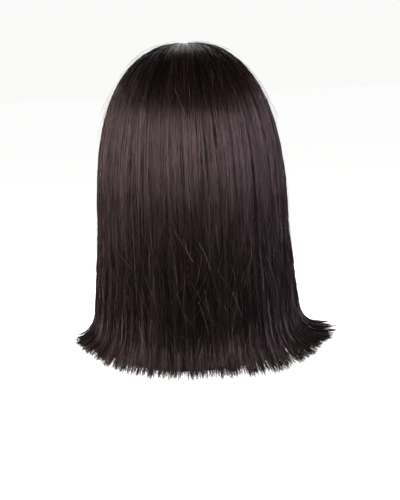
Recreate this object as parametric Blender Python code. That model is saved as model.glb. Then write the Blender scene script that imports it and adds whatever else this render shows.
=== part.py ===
"""Shoulder-length bob wig: straight dark hair with a centre parting, in the form that it has when it is worn.

Metres, +Z up. The origin is where the top of the head meets the inside of the cap. The face opening is at -Y,
and +X is the wearer's left. A bearing is the angle round the wig from the middle of the back, and it is
positive towards the wearer's left. Every hair panel is a hollow shell of locks: each column of points
follows one combed path from the parting, over the cap and down to the cut ends.
"""

import math
from collections import namedtuple

import bmesh
import bpy
from mathutils import Vector

MM = 0.001

# Head that the wig is worn on, about 56 cm round
HEAD_HALF_WIDTH = 75 * MM
HEAD_HALF_LENGTH = 96 * MM
HEAD_CROWN = 100 * MM  # from the top of the head down to its widest level
HEAD_NAPE = 75 * MM  # how far below the widest level the head's form would close
HEAD_ROUNDNESS = 2.2  # exponent of the head's rounded-box form, where 2 is an ellipse

# Cap that carries the hair
CAP_WALL = 1.2 * MM
CAP_SIDES = 48
CAP_ROWS = 9
GAP = 0.3 * MM  # clearance between any two pieces
FACET_ROOM = 0.7 * MM  # how far a facet of the hair's inner face may dip towards the cap
PANEL_GAP = 0.5 * MM  # between two hair panels that meet edge to edge

# Lace strip that shows along the parting
LACE_HALF_WIDTH = 2.0 * MM
LACE_WALL = 0.8 * MM
LACE_SECTIONS = 14
PARTING_REAR = 12 * MM  # in front of the top of the head, where the hair fans out
PARTING_FRONT = 80 * MM  # in front of the top of the head, at the hairline

# Hair that covers the cap, measured out from it
HAIR_TOP = 9.5 * MM
HAIR_SIDE = 18.0 * MM
HAIR_BACK = 12.5 * MM
HAIR_FRONT = 6.5 * MM
FULL_WIDTH_DROP = 59 * MM  # below the head's widest level, where the hair reaches its full width
HAIR_SQUARENESS = 0.2  # how much squarer the hair's dome is than the head
ROOT_THICKNESS = 1.8 * MM
ROOT_RISE = 9 * MM  # distance from the parting in which the hair reaches its full thickness

# Hair that hangs below the dome, measured along it
FALL_LENGTH = 149 * MM
SIDE_SPREAD = math.radians(5.2)  # how far the sides lean outwards as they hang
BACK_TUCK = math.radians(2.0)  # how far the back leans in towards the neck
LEAN_EASING = 0.2  # share of the fall in which the lean builds up
FLIP_START = 0.60  # share of the fall where the ends begin to flip
FLIP_ANGLE = math.radians(78)
HANG_THICKNESS = 8 * MM
TIP_THICKNESS = 1.4 * MM
GROOVE_DEPTH = 2.0 * MM  # between two locks, at their ends
GROOVE_LIMIT = 0.5  # most of the panel's thickness that a groove may take
NOTCH_DEPTH = 16 * MM  # how much shorter the hair is between two locks

# Shorter hair sewn to the nape of the cap, inside the back panel
NAPE_START = 1.18  # share of the head's crown height where its first row is sewn
NAPE_REACH = math.radians(68)  # bearing of its side edges
NAPE_THICKNESS = 7 * MM
NAPE_LENGTH = 0.98  # share of the fall, in the middle of the back
NAPE_SIDE_LENGTH = 0.85  # share of the fall, at its side edges
NAPE_SIDE_FLIP = 0.4  # flip at its side edges, a share of FLIP_ANGLE
NAPE_COLUMNS = 25

REAR_FAN = math.radians(75)  # bearing up to which the hair fans out from the parting's rear end
FRONT_EDGE = math.radians(138)  # bearing of the front edges of the side panels

PATH_STEPS = 60  # fine steps along one combed path
DOME_EASING = 2.2  # packs the steps where the dome turns steep

CapEdge = namedtuple("CapEdge", "bearing depth")
Lock = namedtuple("Lock", "panel width length flip notch")
Rib = namedtuple("Rib", "place groove")
Column = namedtuple("Column", "bearing length flip notch groove")
Finish = namedtuple("Finish", "colour roughness")

# Rim of the cap from the nape round to the hairline; depth is a share of HEAD_CROWN
CAP_EDGE = (
    CapEdge(bearing=0, depth=1.46),
    CapEdge(bearing=28, depth=1.40),
    CapEdge(bearing=58, depth=1.18),
    CapEdge(bearing=78, depth=1.00),
    CapEdge(bearing=92, depth=1.04),
    CapEdge(bearing=106, depth=1.16),
    CapEdge(bearing=118, depth=0.96),
    CapEdge(bearing=136, depth=0.58),
    CapEdge(bearing=156, depth=0.44),
    CapEdge(bearing=180, depth=0.40),
)

# Locks from the wearer's right temple, round the back, to the left temple. Width is a share of an even width,
# length of FALL_LENGTH, flip of FLIP_ANGLE, and notch, after the lock, of NOTCH_DEPTH
LOCKS = (
    Lock(panel="right_hair", width=0.9, length=0.97, flip=0.08, notch=0.5),
    Lock(panel="right_hair", width=1.1, length=0.99, flip=0.20, notch=0.6),
    Lock(panel="right_hair", width=1.0, length=0.97, flip=0.48, notch=0.9),
    Lock(panel="right_hair", width=0.7, length=0.87, flip=1.05, notch=2.0),
    Lock(panel="right_hair", width=1.2, length=0.99, flip=0.98, notch=2.4),
    Lock(panel="back_hair", width=0.8, length=0.94, flip=0.66, notch=1.6),
    Lock(panel="back_hair", width=1.0, length=0.97, flip=0.60, notch=1.2),
    Lock(panel="back_hair", width=1.1, length=0.95, flip=0.38, notch=0.8),
    Lock(panel="back_hair", width=0.9, length=0.97, flip=0.24, notch=0.5),
    Lock(panel="back_hair", width=1.2, length=0.98, flip=0.15, notch=0.4),
    Lock(panel="back_hair", width=1.0, length=0.99, flip=0.11, notch=0.4),
    Lock(panel="back_hair", width=1.1, length=0.98, flip=0.14, notch=0.5),
    Lock(panel="back_hair", width=0.9, length=0.95, flip=0.22, notch=0.5),
    Lock(panel="back_hair", width=1.0, length=0.93, flip=0.34, notch=0.7),
    Lock(panel="back_hair", width=1.1, length=0.91, flip=0.48, notch=0.9),
    Lock(panel="back_hair", width=0.9, length=0.87, flip=0.62, notch=1.0),
    Lock(panel="left_hair", width=1.0, length=0.87, flip=0.98, notch=1.2),
    Lock(panel="left_hair", width=0.9, length=0.86, flip=0.76, notch=0.8),
    Lock(panel="left_hair", width=1.1, length=0.93, flip=0.44, notch=0.7),
    Lock(panel="left_hair", width=1.0, length=0.98, flip=0.18, notch=0.6),
    Lock(panel="left_hair", width=0.9, length=0.97, flip=0.08, notch=0.5),
)

# Columns across each lock: place is a share of its width, groove of GROOVE_DEPTH and of the notch
RIBS = (
    Rib(place=0.00, groove=1.00),
    Rib(place=0.20, groove=0.22),
    Rib(place=0.50, groove=0.00),
    Rib(place=0.80, groove=0.22),
)

# Rows down each panel, as shares of the way over the dome and of the way down the hanging part
DOME_ROWS = (0, 0.03, 0.07, 0.13, 0.21, 0.31, 0.42, 0.54, 0.66, 0.78, 0.89, 1)
FALL_ROWS = (0.2, 0.38, 0.53, 0.65, 0.75, 0.83, 0.9, 0.96, 1)
NAPE_ROWS = (0, 0.1, 0.22, 0.36, 0.5, 0.64, 0.76, 0.86, 0.93, 0.975, 1)

HAIR = Finish(colour=(0.028, 0.018, 0.018), roughness=0.42)
SHADED_HAIR = Finish(colour=(0.018, 0.011, 0.011), roughness=0.5)
CAP_NET = Finish(colour=(0.02, 0.016, 0.015), roughness=0.8)
LACE = Finish(colour=(0.30, 0.19, 0.14), roughness=0.75)


def clear_scene():
    for old in list(bpy.data.objects):
        bpy.data.objects.remove(old)


def smooth(share):
    """0 to 1 with level ends."""
    share = min(max(share, 0.0), 1.0)
    return share * share * (3 - 2 * share)


def mix(low, high, share):
    return low + (high - low) * share


def signed_power(value, exponent):
    return math.copysign(abs(value) ** exponent, value)


class Dome:
    """Rounded-box dome that stands on the head's middle, with its widest level at the given depth."""

    def __init__(self, half_width, half_back, half_front, height, level, roundness):
        self.half_width = half_width
        self.half_back = half_back
        self.half_front = half_front
        self.height = height
        self.level = level
        self.roundness = roundness

    def rim(self, bearing):
        """Plan point of the dome's widest outline."""
        power = 2 / HEAD_ROUNDNESS
        half_length = self.half_back if math.cos(bearing) > 0 else self.half_front
        return Vector(
            (
                self.half_width * signed_power(math.sin(bearing), power),
                half_length * signed_power(math.cos(bearing), power),
                self.level,
            )
        )

    def plan_share(self, x, y):
        """0 in the middle of the plan, 1 on the widest outline."""
        half_length = self.half_back if y > 0 else self.half_front
        total = abs(x / self.half_width) ** HEAD_ROUNDNESS + abs(y / half_length) ** HEAD_ROUNDNESS
        return total ** (1 / HEAD_ROUNDNESS)

    def top(self, x, y):
        """Height of the dome above a plan point."""
        share = min(self.plan_share(x, y), 1.0)
        return self.level + self.height * (1 - share**self.roundness) ** (1 / self.roundness)

    def girth(self, depth_share):
        """Share of the widest outline at a share of the dome's height from its widest level."""
        return (1 - min(abs(depth_share), 1.0) ** self.roundness) ** (1 / self.roundness)


def head_form(clearance):
    """The head, grown by a clearance."""
    return Dome(
        HEAD_HALF_WIDTH + clearance,
        HEAD_HALF_LENGTH + clearance,
        HEAD_HALF_LENGTH + clearance,
        HEAD_CROWN + clearance,
        -HEAD_CROWN,
        HEAD_ROUNDNESS,
    )


UNDER_HAIR = head_form(CAP_WALL + GAP + FACET_ROOM)
OVER_HAIR = Dome(
    UNDER_HAIR.half_width + HAIR_SIDE,
    UNDER_HAIR.half_back + HAIR_BACK,
    UNDER_HAIR.half_front + HAIR_FRONT,
    UNDER_HAIR.height + FULL_WIDTH_DROP + HAIR_TOP,
    UNDER_HAIR.level - FULL_WIDTH_DROP,
    HEAD_ROUNDNESS + HAIR_SQUARENESS,
)


def along(path, shares):
    """Points at these shares of a path's length."""
    reached = [0.0]
    for before, after in zip(path, path[1:]):
        reached.append(reached[-1] + (after - before).length)
    points = []
    step = 0
    for share in shares:
        wanted = share * reached[-1]
        while step < len(path) - 2 and reached[step + 1] < wanted:
            step += 1
        span = reached[step + 1] - reached[step]
        points.append(path[step].lerp(path[step + 1], (wanted - reached[step]) / span))
    return points


def root(bearing):
    """Plan point where a path leaves the parting: round its rear end, or along its side."""
    reach = LACE_HALF_WIDTH + GAP
    if abs(bearing) <= REAR_FAN:
        turn = bearing / REAR_FAN * math.pi / 2
        return Vector((reach * math.sin(turn), reach * math.cos(turn) - PARTING_REAR, 0))
    share = (abs(bearing) - REAR_FAN) / (FRONT_EDGE - REAR_FAN)
    return Vector((math.copysign(reach, bearing), -mix(PARTING_REAR, PARTING_FRONT, share), 0))


def outward(bearing):
    """Level direction from the cap out through the hair."""
    direction = OVER_HAIR.rim(bearing) - UNDER_HAIR.rim(bearing)
    direction.z = 0
    return direction.normalized()


def dome_path(form, bearing):
    """Combed path over a form, from the parting to the form's widest level."""
    start, end = root(bearing), form.rim(bearing)
    path = []
    for step in range(PATH_STEPS + 1):
        share = 1 - (1 - step / PATH_STEPS) ** DOME_EASING
        point = start.lerp(end, share)
        point.z = form.top(point.x, point.y)
        path.append(point)
    return path


def outer_paths(column):
    """Two paths on the hair's outer face: over the dome, and from its widest level to the cut ends."""
    path = dome_path(OVER_HAIR, column.bearing)
    start = root(column.bearing)
    for point in path:
        distance = math.hypot(point.x - start.x, point.y - start.y)
        if UNDER_HAIR.plan_share(point.x, point.y) < 1:
            low = UNDER_HAIR.top(point.x, point.y) + ROOT_THICKNESS
            point.z = max(low, mix(low, point.z, smooth(distance / ROOT_RISE)))
    side = outward(column.bearing)
    lean = SIDE_SPREAD * abs(math.sin(column.bearing)) - BACK_TUCK * max(math.cos(column.bearing), 0)
    length = FALL_LENGTH * column.length - NOTCH_DEPTH * column.notch
    pace = length / PATH_STEPS
    fall = [path[-1]]
    for step in range(1, PATH_STEPS + 1):
        fallen = step * pace / FALL_LENGTH
        angle = lean * smooth(fallen / LEAN_EASING)
        angle += FLIP_ANGLE * column.flip * smooth((fallen - FLIP_START) / (1 - FLIP_START))
        fall.append(fall[-1] + side * pace * math.sin(angle) - Vector((0, 0, pace * math.cos(angle))))
    return path, fall


def inward(path, place, side):
    """Direction square to a path, towards the neck, in the upright plane that holds side."""
    ahead = path[min(place + 1, len(path) - 1)] - path[max(place - 1, 0)]
    out = ahead.dot(side)
    down = -ahead.z
    size = math.hypot(out, down)
    return (-side * down - Vector((0, 0, out))) / size


def hanging(path, side, depth):
    """The part of an outer path below the head's widest level, moved in by depth(share)."""
    first = next(place for place, point in enumerate(path) if point.z < UNDER_HAIR.level)
    last = len(path) - 1
    return [
        path[place] + inward(path, place, side) * depth((place - first) / (last - first))
        for place in range(first, last + 1)
    ]


def hang_depth(path, bearing):
    """Function that gives the panel's thickness over the hanging part of a path."""
    level = next(point for point in path if point.z < UNDER_HAIR.level)
    rim = UNDER_HAIR.rim(bearing)
    start = math.hypot(level.x - rim.x, level.y - rim.y)

    def depth(share):
        if share < 0.5:
            return mix(start, HANG_THICKNESS, smooth(share / 0.5))
        return mix(HANG_THICKNESS, TIP_THICKNESS, smooth((share - 0.5) / 0.5))

    return depth


def inner_paths(column, outer):
    """Two paths on the hair's inner face: over the cap, and inside the hanging part of the outer path."""
    over_cap = dome_path(UNDER_HAIR, column.bearing)
    hung = hanging(outer, outward(column.bearing), hang_depth(outer, column.bearing))
    return over_cap, over_cap[-1:] + hung[2:]


def hair_columns():
    """Every column from the right temple round to the left, and the index of each lock's first column."""
    total = sum(lock.width for lock in LOCKS)
    columns, firsts = [], []
    edge = -FRONT_EDGE
    for number, lock in enumerate(LOCKS):
        before = LOCKS[max(number - 1, 0)]
        span = 2 * FRONT_EDGE * lock.width / total
        firsts.append(len(columns))
        for rib in RIBS:
            notch = before.notch if rib.place < 0.5 else lock.notch
            share = 0.5 if rib.place == 0 else 0.0
            columns.append(
                Column(
                    edge + span * rib.place,
                    mix(lock.length, before.length, share),
                    mix(lock.flip, before.flip, share),
                    notch * rib.groove,
                    rib.groove,
                )
            )
        edge += span
    last = LOCKS[-1]
    firsts.append(len(columns))
    columns.append(Column(FRONT_EDGE, last.length, last.flip, last.notch, 1.0))
    return columns, firsts


def hair_section(column, shift):
    """Closed loop of points round one column, moved along the panel by shift."""
    side = outward(column.bearing)
    sideways = Vector((side.y, -side.x, 0)) * shift
    dome, fall = outer_paths(column)
    under_dome, under_fall = inner_paths(column, dome[:-1] + fall)
    face = along(dome, DOME_ROWS) + along(fall, FALL_ROWS)
    back = along(under_dome, DOME_ROWS) + along(under_fall, FALL_ROWS)
    for row in range(1, len(face)):
        room = (face[row] - back[row]).length
        groove = min(GROOVE_DEPTH * column.groove * row / len(face), GROOVE_LIMIT * room)
        face[row] = face[row] + (back[row] - face[row]).normalized() * groove
    return [point + sideways for point in face + back[::-1]]


def add_object(name, mesh_builder, finish):
    """Object from a bmesh, with outward faces, smooth shading and its own material."""
    bmesh.ops.recalc_face_normals(mesh_builder, faces=mesh_builder.faces)
    mesh = bpy.data.meshes.new(name)
    mesh_builder.to_mesh(mesh)
    mesh_builder.free()
    mesh.shade_smooth()
    mesh.set_sharp_from_angle(angle=math.radians(50))
    material = bpy.data.materials.new(name)
    material.use_nodes = True
    shader = material.node_tree.nodes["Principled BSDF"]
    shader.inputs["Base Color"].default_value = (*finish.colour, 1)
    shader.inputs["Roughness"].default_value = finish.roughness
    shader.inputs["Metallic"].default_value = 0
    mesh.materials.append(material)
    bpy.context.collection.objects.link(bpy.data.objects.new(name, mesh))


def loft(name, sections, finish):
    """Closed solid through loops of equally many points, with its two ends filled."""
    builder = bmesh.new()
    rings = [[builder.verts.new(point) for point in section] for section in sections]
    for near, far in zip(rings, rings[1:]):
        for place in range(len(near)):
            after = (place + 1) % len(near)
            builder.faces.new((near[place], near[after], far[after], far[place]))
    half = len(rings[0]) // 2
    for ring in (rings[0], rings[-1]):
        for place in range(half - 1):
            builder.faces.new((ring[place], ring[place + 1], ring[-place - 2], ring[-place - 1]))
    add_object(name, builder, finish)


def make_hair_panels():
    """Right, back and left panels, which meet with a small gap at the edges that they share."""
    columns, firsts = hair_columns()
    for name in dict.fromkeys(lock.panel for lock in LOCKS):
        held = [number for number, lock in enumerate(LOCKS) if lock.panel == name]
        first, last = firsts[held[0]], firsts[held[-1] + 1]
        sections = []
        for place in range(first, last + 1):
            shift = {first: PANEL_GAP / 2, last: -PANEL_GAP / 2}.get(place, 0.0)
            sections.append(hair_section(columns[place], shift))
        loft(name, sections, HAIR)


def nape_section(bearing):
    """Closed loop round one column of the nape hair, between the cap and the back panel."""
    share = (bearing / NAPE_REACH) ** 2
    dome, fall = outer_paths(Column(bearing, 1.0, NAPE_SIDE_FLIP * share, 0.0, 0.0))
    path = dome[:-1] + fall
    side = outward(bearing)
    depth = hang_depth(path, bearing)
    cap_clear = head_form(CAP_WALL + GAP)
    start = -HEAD_CROWN * NAPE_START
    inside = hanging(path, side, lambda share: depth(share) + GAP + FACET_ROOM)
    trimmed = round(PATH_STEPS * (1 - mix(NAPE_LENGTH, NAPE_SIDE_LENGTH, share)))
    face = [point for point in inside[: len(inside) - trimmed] if point.z < start]
    back = []
    for place, point in enumerate(face):
        hung = place / (len(face) - 1)
        inner = point + inward(face, place, side) * mix(NAPE_THICKNESS, TIP_THICKNESS, smooth(2 * hung - 1))
        beside_cap = inner.z > -HEAD_CROWN * CAP_EDGE[0].depth - CAP_WALL
        if beside_cap:
            girth = cap_clear.girth((inner.z - cap_clear.level) / HEAD_NAPE)
            grow = max(girth / cap_clear.plan_share(inner.x, inner.y), 1.0)
            inner = Vector((inner.x * grow, inner.y * grow, inner.z))
        back.append(inner)
    return along(face, NAPE_ROWS) + along(back, NAPE_ROWS)[::-1]


def make_nape_hair():
    bearings = [mix(-NAPE_REACH, NAPE_REACH, place / (NAPE_COLUMNS - 1)) for place in range(NAPE_COLUMNS)]
    loft("nape_hair", [nape_section(bearing) for bearing in bearings], SHADED_HAIR)


def cap_depth(bearing):
    """Depth of the cap's rim at a bearing, eased between the rows of CAP_EDGE."""
    angle = abs(math.degrees(bearing))
    for low, high in zip(CAP_EDGE, CAP_EDGE[1:]):
        if angle <= high.bearing:
            share = (angle - low.bearing) / (high.bearing - low.bearing)
            return HEAD_CROWN * mix(low.depth, high.depth, smooth(share))
    return HEAD_CROWN * CAP_EDGE[-1].depth


def cap_ring(form, row):
    """Ring of points on a form, at a share of the way from its top to the cap's rim."""
    ring = []
    for side in range(CAP_SIDES):
        bearing = mix(-math.pi, math.pi, side / CAP_SIDES)
        edge = -cap_depth(bearing) - form.level
        edge_share = edge / (HEAD_NAPE if edge < 0 else form.height)
        turn = math.acos(signed_power(edge_share, form.roundness / 2)) * row / CAP_ROWS
        height = signed_power(math.cos(turn), 2 / form.roundness)
        height *= HEAD_NAPE if height < 0 else form.height
        girth = math.sin(turn) ** (2 / form.roundness)
        rim = form.rim(bearing)
        ring.append(Vector((rim.x * girth, rim.y * girth, form.level + height)))
    return ring


def make_cap():
    """Net cap, from the hairline over ear tabs to the nape."""
    builder = bmesh.new()
    inside, outside = head_form(0), head_form(CAP_WALL)
    layers = [(outside, row) for row in range(1, CAP_ROWS + 1)]
    layers += [(inside, row) for row in range(CAP_ROWS, 0, -1)]
    rings = [[builder.verts.new(point) for point in cap_ring(form, row)] for form, row in layers]
    for near, far in zip(rings, rings[1:]):
        for side in range(CAP_SIDES):
            after = (side + 1) % CAP_SIDES
            builder.faces.new((near[side], near[after], far[after], far[side]))
    for form, ring in ((outside, rings[0]), (inside, rings[-1])):
        pole = builder.verts.new((0, 0, form.level + form.height))
        for side in range(CAP_SIDES):
            builder.faces.new((ring[side], ring[(side + 1) % CAP_SIDES], pole))
    add_object("cap", builder, CAP_NET)


def make_parting_lace():
    """Strip of lace on top of the cap, between the two sides of the parting."""
    under = head_form(CAP_WALL + GAP)
    over = head_form(CAP_WALL + GAP + LACE_WALL)
    sections = []
    for number in range(LACE_SECTIONS + 1):
        y = -mix(PARTING_FRONT, PARTING_REAR, number / LACE_SECTIONS)
        across = (-LACE_HALF_WIDTH, 0, LACE_HALF_WIDTH)
        face = [Vector((x, y, over.top(x, y))) for x in across]
        back = [Vector((x, y, under.top(x, y))) for x in across]
        sections.append(face + back[::-1])
    loft("parting_lace", sections, LACE)


clear_scene()
make_cap()
make_parting_lace()
make_hair_panels()
make_nape_hair()
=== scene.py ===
import math
from collections import namedtuple

import bmesh
import bpy
import numpy as np
from mathutils import Matrix, Vector


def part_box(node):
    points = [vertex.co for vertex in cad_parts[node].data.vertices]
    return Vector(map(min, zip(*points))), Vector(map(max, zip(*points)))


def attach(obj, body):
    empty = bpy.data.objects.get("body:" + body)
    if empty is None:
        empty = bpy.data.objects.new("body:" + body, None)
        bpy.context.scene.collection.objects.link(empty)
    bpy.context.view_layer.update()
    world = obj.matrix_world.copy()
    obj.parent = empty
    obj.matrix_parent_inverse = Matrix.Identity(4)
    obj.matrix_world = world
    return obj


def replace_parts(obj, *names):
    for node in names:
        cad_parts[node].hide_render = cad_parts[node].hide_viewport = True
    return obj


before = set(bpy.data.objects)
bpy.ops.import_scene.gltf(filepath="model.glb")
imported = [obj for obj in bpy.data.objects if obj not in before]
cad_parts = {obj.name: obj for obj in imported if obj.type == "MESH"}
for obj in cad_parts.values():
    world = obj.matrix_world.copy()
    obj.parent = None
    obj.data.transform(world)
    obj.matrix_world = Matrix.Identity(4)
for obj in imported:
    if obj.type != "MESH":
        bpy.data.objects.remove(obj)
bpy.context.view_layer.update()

# The cap: black stretch net that grips the head and carries the hair, which is machine-sewn to it
# in rows of narrow weft. From inside, the net and the rows show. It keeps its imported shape.
MM = 0.001
NET_CELL = 2.2 * MM
NET_THREAD = 0.22  # a thread's half width, as a share of a cell
NET_RELIEF = 0.25 * MM
WEFT_SPACING = 13 * MM
BANDS_AT_SCALE_ONE = 3.183  # that the wave texture draws in a metre


def linear(hex_colour):
    """Linear colour from an sRGB hex value."""
    channels = [int(hex_colour[place : place + 2], 16) / 255 for place in (1, 3, 5)]
    return tuple(c / 12.92 if c <= 0.04045 else ((c + 0.055) / 1.055) ** 2.4 for c in channels) + (1.0,)


def add_node(tree, kind, settings=None, links=None):
    """Adds a node, sets its properties or free inputs, and joins other nodes' outputs to its inputs."""
    node = tree.nodes.new(kind)
    for name, value in (settings or {}).items():
        if hasattr(node, str(name)):
            setattr(node, name, value)
        else:
            node.inputs[name].default_value = value
    for name, output in (links or {}).items():
        tree.links.new(output, node.inputs[name])
    return node


def new_material(name):
    """Material with an empty tree."""
    material = bpy.data.materials.new(name)
    material.use_nodes = True
    material.node_tree.nodes.clear()
    return material, material.node_tree


def colour_ramp(tree, factor, stops):
    """Colours through (place, hex colour) stops."""
    node = add_node(tree, "ShaderNodeValToRGB", links={"Fac": factor})
    ramp = node.color_ramp
    while len(ramp.elements) < len(stops):
        ramp.elements.new(0.5)
    for element, (place, colour) in zip(ramp.elements, stops):
        element.position = place
        element.color = linear(colour)
    return node.outputs["Color"]


def added(tree, first, second):
    """Sum of two values."""
    node = add_node(tree, "ShaderNodeMath", {"operation": "ADD"})
    tree.links.new(first, node.inputs[0])
    tree.links.new(second, node.inputs[1])
    return node.outputs["Value"]


def raised(tree, height, strength, distance):
    """Normals of a surface with this relief."""
    settings = {"Strength": strength, "Distance": distance}
    return add_node(tree, "ShaderNodeBump", settings, {"Height": height}).outputs["Normal"]


def finish(tree, colour, normal, roughness, ior=1.5, specular=0.5):
    """Ends a material's tree with its shader."""
    links = {"Base Color": colour, "Normal": normal}
    settings = {"Roughness": roughness, "IOR": ior, "Specular IOR Level": specular}
    shader = add_node(tree, "ShaderNodeBsdfPrincipled", settings, links)
    add_node(tree, "ShaderNodeOutputMaterial", links={"Surface": shader.outputs["BSDF"]})


def stretch_net_material():
    """Warp-knitted nylon net, dull black: rounded threads round open cells, raised at each weft."""
    material, tree = new_material("stretch_net")
    place = add_node(tree, "ShaderNodeTexCoord").outputs["Object"]
    cells = add_node(
        tree,
        "ShaderNodeTexVoronoi",
        {"feature": "DISTANCE_TO_EDGE", "Scale": 1 / NET_CELL, "Randomness": 0.25},
        {"Vector": place},
    )
    thread = add_node(
        tree,
        "ShaderNodeMapRange",
        {"From Min": 0.0, "From Max": NET_THREAD, "To Min": 1.0, "To Max": 0.0},
        {"Value": cells.outputs["Distance"]},
    )
    band_scale = 1 / WEFT_SPACING / BANDS_AT_SCALE_ONE
    rows = add_node(
        tree,
        "ShaderNodeTexWave",
        {"bands_direction": "Z", "Scale": band_scale, "Distortion": 0.6, "Detail": 2.0},
        {"Vector": place},
    )
    band = add_node(
        tree,
        "ShaderNodeMapRange",
        {"From Min": 0.72, "From Max": 0.9, "To Min": 0.0, "To Max": 1.6},
        {"Value": rows.outputs["Fac"]},
    )
    relief = added(tree, thread.outputs["Result"], band.outputs["Result"])
    normal = raised(tree, relief, strength=0.8, distance=NET_RELIEF)
    shades = ((0.0, "#0a0809"), (0.8, "#2a2526"), (1.0, "#403939"))
    finish(tree, colour_ramp(tree, relief, shades), normal, roughness=0.75)
    return material


bpy.data.objects["cap"].material_slots[0].material = stretch_net_material()


# The parting lace: a strip of fine skin-toned lace on top of the cap, with single hairs knotted through
# it along the parting. The real mesh is about 0.5 mm wide and is drawn at 0.9 mm, so that it shows. It
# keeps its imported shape.
LACE_CELL = 0.9 * MM
LACE_RELIEF = 0.1 * MM
KNOT_DARKNESS = 0.8


def lace_material():
    """Fine monofilament lace over the scalp's tone, with the small brown knots of the hairs."""
    material, tree = new_material("skin_toned_lace")
    place = add_node(tree, "ShaderNodeTexCoord").outputs["Object"]
    mesh = add_node(
        tree,
        "ShaderNodeTexVoronoi",
        {"feature": "DISTANCE_TO_EDGE", "Scale": 1 / LACE_CELL, "Randomness": 0.3},
        {"Vector": place},
    )
    knots = add_node(
        tree, "ShaderNodeTexVoronoi", {"Scale": 1 / LACE_CELL, "Randomness": 0.8}, {"Vector": place}
    )
    shades = ((0.05, "#8d6a57"), (0.28, "#c39c86"), (0.6, "#b98f79"))
    threads = colour_ramp(tree, mesh.outputs["Distance"], shades)
    dots = colour_ramp(tree, knots.outputs["Distance"], ((0.14, "#2e1f1a"), (0.30, "#ffffff")))
    both = add_node(tree, "ShaderNodeMix", {"data_type": "RGBA", "blend_type": "MULTIPLY"})
    both.inputs["Factor"].default_value = KNOT_DARKNESS
    tree.links.new(threads, both.inputs["A"])
    tree.links.new(dots, both.inputs["B"])
    normal = raised(tree, mesh.outputs["Distance"], strength=0.5, distance=LACE_RELIEF)
    finish(tree, both.outputs["Result"], normal, roughness=0.7)
    return material


bpy.data.objects["parting_lace"].material_slots[0].material = lace_material()


# The combed form of the hair: straight human hair laid from a centre parting over the cap, cut to one
# line at the shoulders, its ends flipped out at the sides. All the hair below follows it, and it fits
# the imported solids. A bearing is the angle from the middle of the back, positive to the wearer's left.
CAP_CLEARANCE = 1.0 * MM  # from the cap's outside to the hair's inner face
CROWN_DEPTH = 100 * MM  # from the top of the head to its widest level
HAIR_TOP = 9.5 * MM
HAIR_SIDE = 18.0 * MM
HAIR_BACK = 12.5 * MM
HAIR_FRONT = 6.5 * MM
FULL_WIDTH_DROP = 59 * MM  # from the head's widest level down to the hair's
PLAN_ROUNDNESS = 2.2  # exponent of the outline from above, where 2 is an ellipse
ROOT_GAP = 0.3 * MM  # from the lace's edge to the hair's first points
ROOT_THICKNESS = 1.8 * MM
ROOT_RISE = 9 * MM  # from the parting to where the hair has its full thickness
FALL_LENGTH = 149 * MM
SIDE_SPREAD = math.radians(5.2)
BACK_TUCK = math.radians(2.0)
LEAN_EASING = 0.2  # this and the starts below are shares of the fall
FLIP_START = 0.60
FLIP_ANGLE = math.radians(78)
TIP_CURL = math.radians(28)  # more turn in the strands' last part
TIP_CURL_START = 0.80
MOST_TURN = math.radians(87)
REAR_FAN = math.radians(75)  # bearing up to which the hair leaves the parting's rear end
FRONT_EDGE = math.radians(138)
HANG_THICKNESS = 8 * MM
HANG_START = 0.5  # share of the inner face's fall in which the hair comes to HANG_THICKNESS
TIP_THICKNESS = 1.4 * MM
DOME_POINTS = 40
FALL_POINTS = 40
DOME_STEPS = 300  # short steps that the dome's arc is measured in
ROOT_CLOSENESS = 1.2  # above 1, the dome's points lie closer near the parting

Form = namedtuple("Form", "half_width half_back half_front height level roundness")
lace_low, lace_high = (np.array(corner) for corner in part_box("parting_lace"))
cap_low, cap_high = (np.array(corner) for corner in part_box("cap"))
PARTING_REAR = lace_high[1]
PARTING_FRONT = lace_low[1]
ROOT_REACH = lace_high[0] + ROOT_GAP

under_hair = Form(
    half_width=cap_high[0] + CAP_CLEARANCE,
    half_back=cap_high[1] + CAP_CLEARANCE,
    half_front=cap_high[1] + CAP_CLEARANCE,
    height=CROWN_DEPTH + cap_high[2] + CAP_CLEARANCE,
    level=-CROWN_DEPTH,
    roundness=2.2,
)
over_hair = Form(
    half_width=under_hair.half_width + HAIR_SIDE,
    half_back=under_hair.half_back + HAIR_BACK,
    half_front=under_hair.half_front + HAIR_FRONT,
    height=under_hair.height + FULL_WIDTH_DROP + HAIR_TOP,
    level=-CROWN_DEPTH - FULL_WIDTH_DROP,
    roundness=2.4,
)

Lock = namedtuple("Lock", "width length flip notch gather")
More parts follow.
